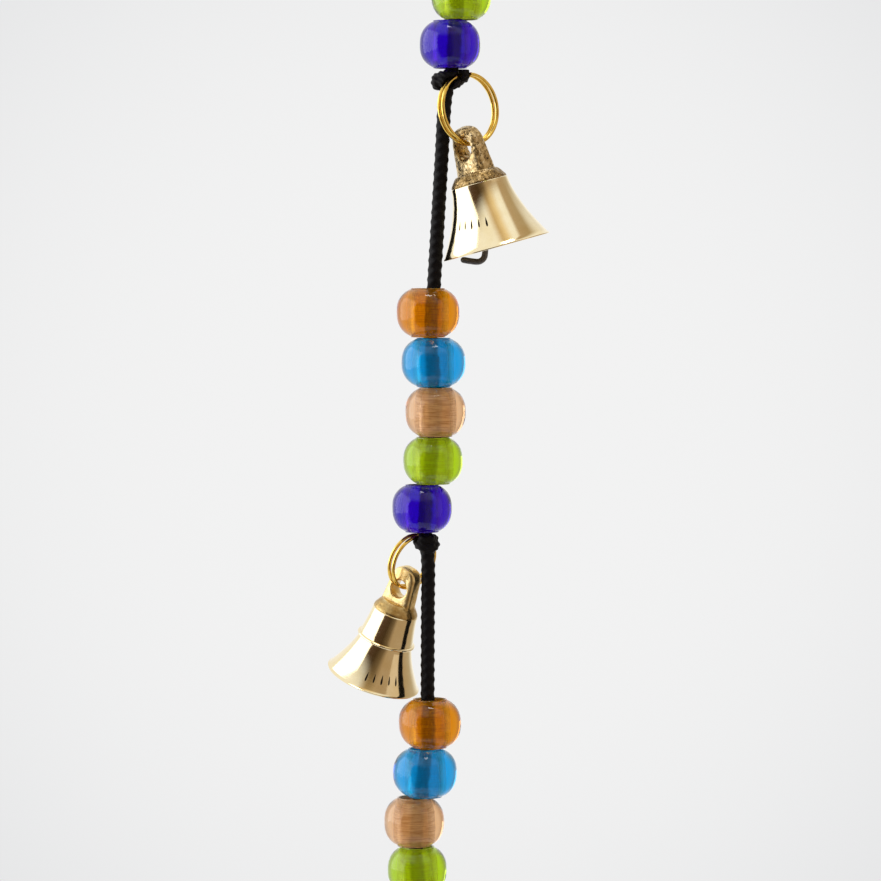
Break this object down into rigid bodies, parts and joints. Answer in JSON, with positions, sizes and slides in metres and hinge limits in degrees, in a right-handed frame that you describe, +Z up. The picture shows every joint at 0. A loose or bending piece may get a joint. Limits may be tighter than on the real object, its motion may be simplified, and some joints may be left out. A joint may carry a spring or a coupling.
{
  "type": "hanging bell chime",
  "caption": "Hanging chime of coloured glass beads threaded on a knotted black cord, with small brass bells hung from split rings at its knots.",
  "frame": {"origin": "where a hook bears inside the top of the hanging loop", "axes": "+Z up along the hanging cord, +X to the right in the front view, +Y away from the viewer; the cord's loop lies in the XZ plane"},
  "size_m": [0.0431, 0.0265, 0.2898],
  "materials": {
    "cord": "black braided cord, soft sheen",
    "amber_glass": "clear coloured glass, smooth, with small bubbles",
    "turquoise_glass": "clear coloured glass, smooth, with small bubbles",
    "peach_glass": "clear coloured glass, smooth, with small bubbles",
    "lime_glass": "clear coloured glass, smooth, with small bubbles",
    "cobalt_glass": "clear coloured glass, smooth, with small bubbles",
    "ring_brass": "bright gold plating on wire",
    "bell_brass": "turned and polished skirt, rough cast lug and crown",
    "iron": "dull grey drawn wire"
  },
  "bodies": {
    "loop": {"hanging_loop": "cord"},
    "lead": {"lead_cord": "cord"},
    "strand_1": {"strand_cord_1": "cord"},
    "amber_bead_1": {"amber_bead_1": "amber_glass"},
    "turquoise_bead_1": {"turquoise_bead_1": "turquoise_glass"},
    "peach_bead_1": {"peach_bead_1": "peach_glass"},
    "lime_bead_1": {"lime_bead_1": "lime_glass"},
    "cobalt_bead_1": {"cobalt_bead_1": "cobalt_glass"},
    "ring_1": {"split_ring_1": "ring_brass"},
    "bell_1": {"bell_1": "bell_brass", "clapper_staple_1": "iron"},
    "clapper_1": {"clapper_1": "iron"},
    "strand_2": {"strand_cord_2": "cord"},
    "amber_bead_2": {"amber_bead_2": "amber_glass"},
    "turquoise_bead_2": {"turquoise_bead_2": "turquoise_glass"},
    "peach_bead_2": {"peach_bead_2": "peach_glass"},
    "lime_bead_2": {"lime_bead_2": "lime_glass"},
    "cobalt_bead_2": {"cobalt_bead_2": "cobalt_glass"},
    "ring_2": {"split_ring_2": "ring_brass"},
    "bell_2": {"bell_2": "bell_brass", "clapper_staple_2": "iron"},
    "clapper_2": {"clapper_2": "iron"},
    "strand_3": {"strand_cord_3": "cord"},
    "amber_bead_3": {"amber_bead_3": "amber_glass"},
    "turquoise_bead_3": {"turquoise_bead_3": "turquoise_glass"},
    "peach_bead_3": {"peach_bead_3": "peach_glass"},
    "lime_bead_3": {"lime_bead_3": "lime_glass"},
    "cobalt_bead_3": {"cobalt_bead_3": "cobalt_glass"},
    "ring_3": {"split_ring_3": "ring_brass"},
    "bell_3": {"bell_3": "bell_brass", "clapper_staple_3": "iron"},
    "clapper_3": {"clapper_3": "iron"}
  },
  "joints": [
    {"name": "lead_sway_front", "type": "hinge", "parent": "loop", "child": "lead", "pos_m": [0.0012, 0, -0.02585], "axis": [1, 0, 0], "range_deg": [-35, 35]},
    {"name": "strand_1_sway", "type": "hinge", "parent": "lead", "child": "strand_1", "pos_m": [0.0012, 0, -0.03115], "axis": [0, 1, 0], "range_deg": [-35, 35]},
    {"name": "amber_bead_1_spin", "type": "hinge", "parent": "strand_1", "child": "amber_bead_1", "pos_m": [0.00135, 0.00012, -0.03685], "axis": [0, 0, 1], "continuous": true},
    {"name": "turquoise_bead_1_spin", "type": "hinge", "parent": "strand_1", "child": "turquoise_bead_1", "pos_m": [0.00097, -0.00012, -0.04645], "axis": [0, 0, 1], "continuous": true},
    {"name": "peach_bead_1_spin", "type": "hinge", "parent": "strand_1", "child": "peach_bead_1", "pos_m": [0.00154, 0.00017, -0.05605], "axis": [0, 0, 1], "continuous": true},
    {"name": "lime_bead_1_spin", "type": "hinge", "parent": "strand_1", "child": "lime_bead_1", "pos_m": [0.00213, -0.00012, -0.06545], "axis": [0, 0, 1], "continuous": true},
    {"name": "cobalt_bead_1_spin", "type": "hinge", "parent": "strand_1", "child": "cobalt_bead_1", "pos_m": [0, 0.00006, -0.0747], "axis": [0, 0, 1], "continuous": true},
    {"name": "ring_1_swing", "type": "hinge", "parent": "strand_1", "child": "ring_1", "pos_m": [0.00249, 0.00046, -0.0805], "axis": [-0.7414, -0.6607, -0.1174], "range_deg": [0, 35]},
    {"name": "bell_1_swing", "type": "hinge", "parent": "ring_1", "child": "bell_1", "pos_m": [0.00354, -0.00046, -0.09375], "axis": [-0.7115, -0.6749, -0.1957], "range_deg": [0, 45]},
    {"name": "clapper_1_swing", "type": "hinge", "parent": "bell_1", "child": "clapper_1", "pos_m": [0.00673, -0.00046, -0.10535], "axis": [0, 1, 0], "range_deg": [-35, 12]},
    {"name": "strand_2_sway", "type": "hinge", "parent": "strand_1", "child": "strand_2", "pos_m": [-0.00096, 0.00006, -0.08535], "axis": [0, 1, 0], "range_deg": [0, 30]},
    {"name": "amber_bead_2_spin", "type": "hinge", "parent": "strand_2", "child": "amber_bead_2", "pos_m": [-0.00426, -0.00012, -0.12625], "axis": [0, 0, 1], "continuous": true},
    {"name": "turquoise_bead_2_spin", "type": "hinge", "parent": "strand_2", "child": "turquoise_bead_2", "pos_m": [-0.00319, 0.00012, -0.13585], "axis": [0, 0, 1], "continuous": true},
    {"name": "peach_bead_2_spin", "type": "hinge", "parent": "strand_2", "child": "peach_bead_2", "pos_m": [-0.0028, -0.00017, -0.14545], "axis": [0, 0, 1], "continuous": true},
    {"name": "lime_bead_2_spin", "type": "hinge", "parent": "strand_2", "child": "lime_bead_2", "pos_m": [-0.0033, 0.00012, -0.15485], "axis": [0, 0, 1], "continuous": true},
    {"name": "cobalt_bead_2_spin", "type": "hinge", "parent": "strand_2", "child": "cobalt_bead_2", "pos_m": [-0.00542, 0, -0.1641], "axis": [0, 0, 1], "continuous": true},
    {"name": "ring_2_swing", "type": "hinge", "parent": "strand_2", "child": "ring_2", "pos_m": [-0.00525, 0.0011, -0.1699], "axis": [0.5969, 0.7525, -0.2783], "range_deg": [0, 28]},
    {"name": "bell_2_swing", "type": "hinge", "parent": "ring_2", "child": "bell_2", "pos_m": [-0.00901, 0.00185, -0.17952], "axis": [0.5467, 0.8368, 0.0299], "range_deg": [0, 12]},
    {"name": "clapper_2_swing", "type": "hinge", "parent": "bell_2", "child": "clapper_2", "pos_m": [-0.01188, 0.00403, -0.18822], "axis": [-0.606, -0.7955, 0], "range_deg": [-25, 2]},
    {"name": "strand_3_sway", "type": "hinge", "parent": "strand_2", "child": "strand_3", "pos_m": [-0.00425, 0, -0.17475], "axis": [0, -1, 0], "range_deg": [0, 30]},
    {"name": "amber_bead_3_spin", "type": "hinge", "parent": "strand_3", "child": "amber_bead_3", "pos_m": [-0.00389, 0.00012, -0.20595], "axis": [0, 0, 1], "continuous": true},
    {"name": "turquoise_bead_3_spin", "type": "hinge", "parent": "strand_3", "child": "turquoise_bead_3", "pos_m": [-0.00482, -0.00012, -0.21555], "axis": [0, 0, 1], "continuous": true},
    {"name": "peach_bead_3_spin", "type": "hinge", "parent": "strand_3", "child": "peach_bead_3", "pos_m": [-0.00695, 0.00012, -0.22515], "axis": [0, 0, 1], "continuous": true},
    {"name": "lime_bead_3_spin", "type": "hinge", "parent": "strand_3", "child": "lime_bead_3", "pos_m": [-0.00637, 0, -0.23455], "axis": [0, 0, 1], "continuous": true},
    {"name": "cobalt_bead_3_spin", "type": "hinge", "parent": "strand_3", "child": "cobalt_bead_3", "pos_m": [-0.00559, 0, -0.2438], "axis": [0, 0, 1], "continuous": true},
    {"name": "ring_3_swing", "type": "hinge", "parent": "strand_3", "child": "ring_3", "pos_m": [-0.00559, 0, -0.251], "axis": [0.8191, 0.5736, 0], "range_deg": [-50, 50]},
    {"name": "bell_3_swing", "type": "hinge", "parent": "ring_3", "child": "bell_3", "pos_m": [-0.00559, 0, -0.2634], "axis": [0.8191, 0.5736, 0], "range_deg": [-30, 30]},
    {"name": "clapper_3_swing", "type": "hinge", "parent": "bell_3", "child": "clapper_3", "pos_m": [-0.00559, 0, -0.27542], "axis": [0, 1, 0], "range_deg": [-35, 25]}
  ]
}
